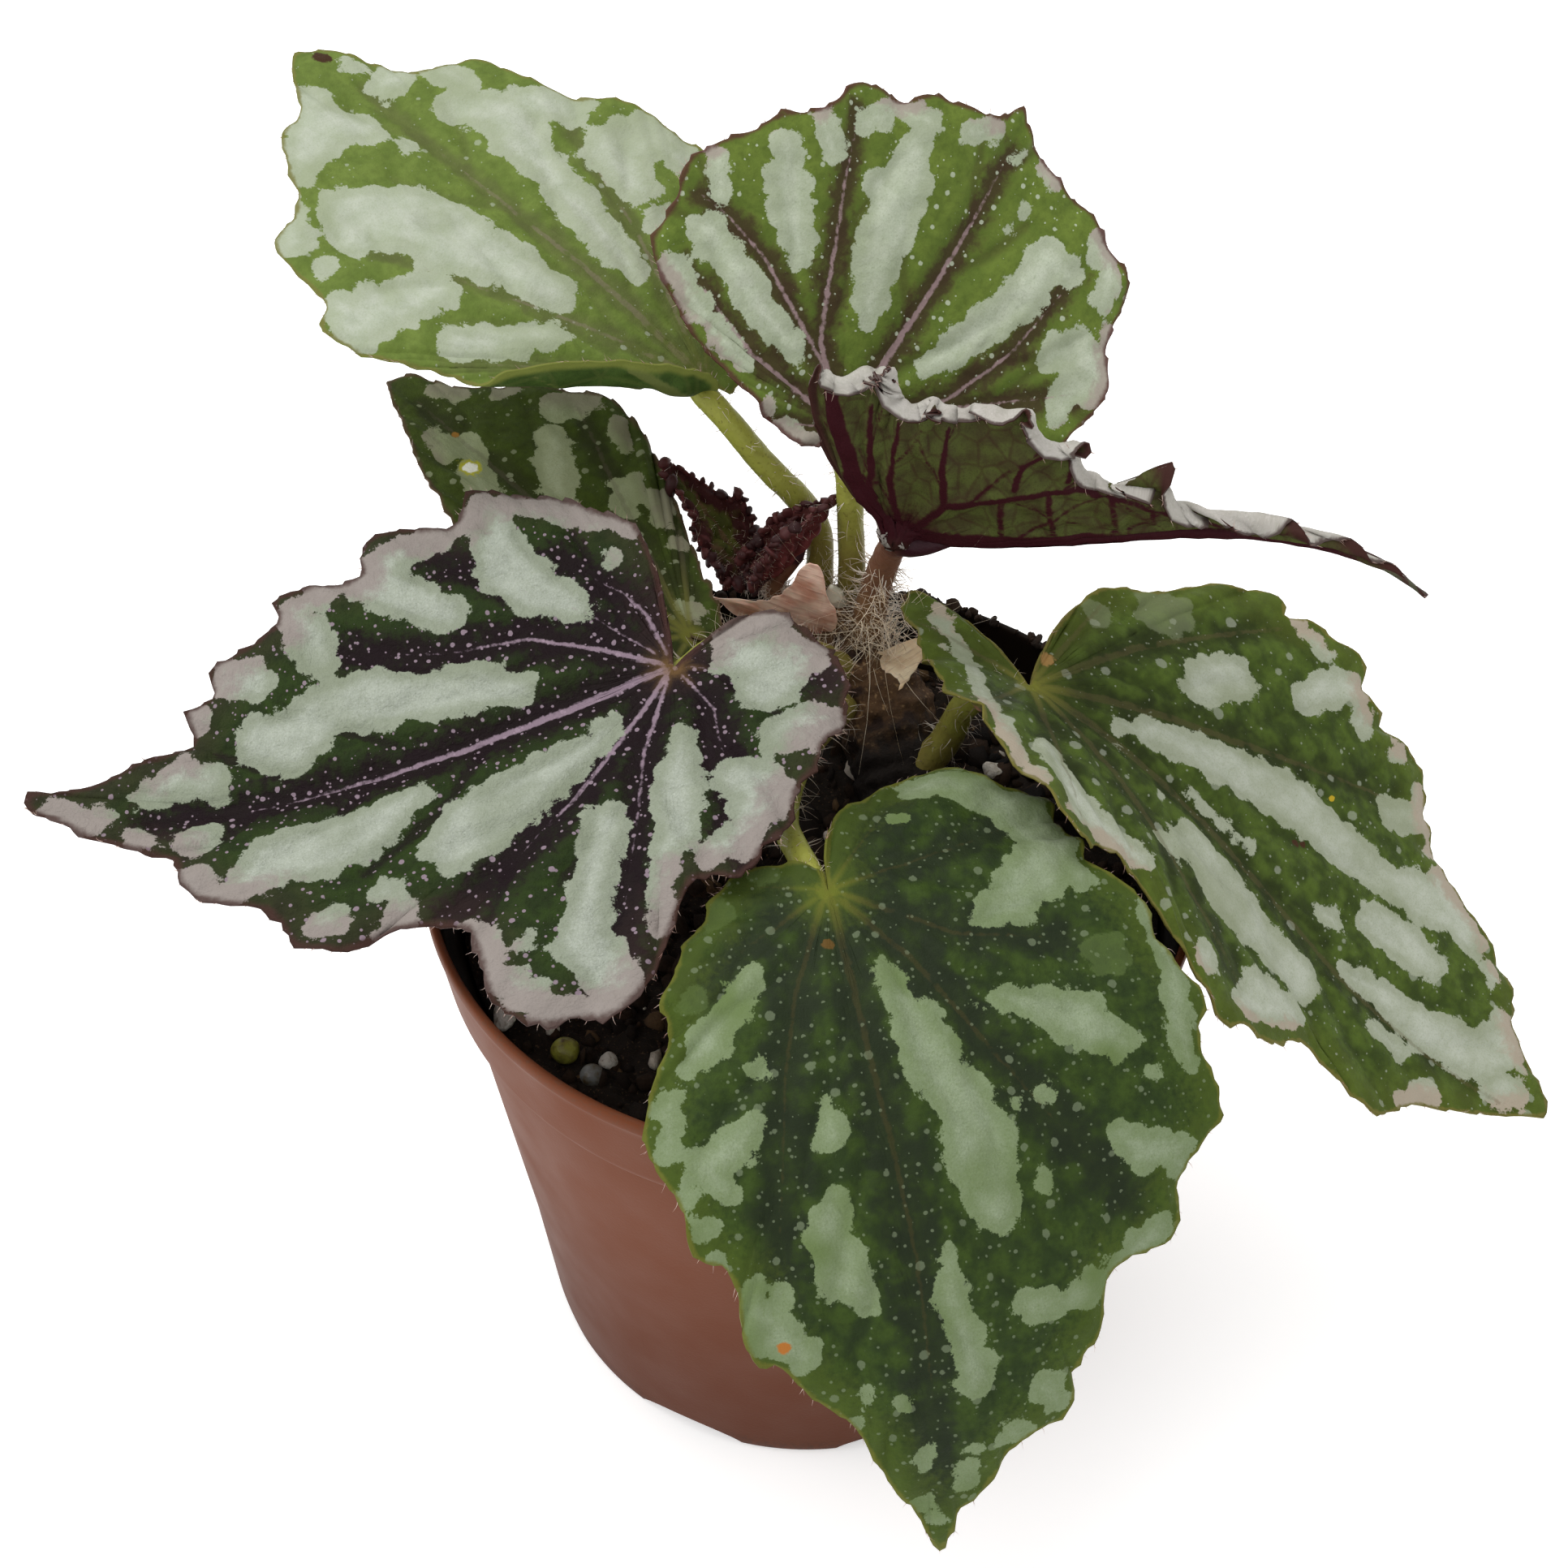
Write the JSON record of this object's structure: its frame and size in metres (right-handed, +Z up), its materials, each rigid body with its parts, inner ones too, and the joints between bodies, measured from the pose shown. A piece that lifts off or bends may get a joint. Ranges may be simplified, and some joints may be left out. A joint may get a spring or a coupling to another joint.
{
  "type": "potted rex begonia",
  "caption": "Small rex begonia with silver-blotched pointed leaves on arching stalks from a creeping stem, in a round plastic nursery pot filled with dark soil.",
  "frame": {"origin": "Centre of the pot's flat underside, at the level it stands on.", "axes": "+Z is up out of the pot. -Y is the front, the side that the picture looks at. +X is to the viewer's right."},
  "size_m": [0.1959, 0.1698, 0.1674],
  "materials": {
    "pot": "thin reddish brown polypropylene with a soft sheen",
    "soil": "damp dark peat with bark crumbs, white perlite and small feed grains",
    "rhizome": "brown creeping stem with pale wool and dry scales",
    "leaf_green": "dark green blistered leaf with pale silver blotches",
    "leaf_purple": "leaf with a purple-black middle, silver blotches and a maroon back",
    "leaf_pale": "mid green leaf mostly covered by mint silver blotches",
    "leaf_young": "crumpled dark maroon young leaf with pale hairs",
    "stipule_pink": "thin see-through pink scale",
    "stipule_pale": "thin dry straw-coloured scale"
  },
  "bodies": {
    "root": {"pot": "pot", "soil": "soil", "rhizome": "rhizome", "leaf_front": "leaf_green", "leaf_left": "leaf_purple", "leaf_right": "leaf_green", "leaf_back_left": "leaf_pale", "leaf_back": "leaf_pale", "leaf_back_right": "leaf_purple", "leaf_left_rear": "leaf_green", "young_leaf_left": "leaf_young", "young_leaf_right": "leaf_young", "stipule_pink": "stipule_pink", "stipule_pale": "stipule_pale"}
  },
  "joints": []
}
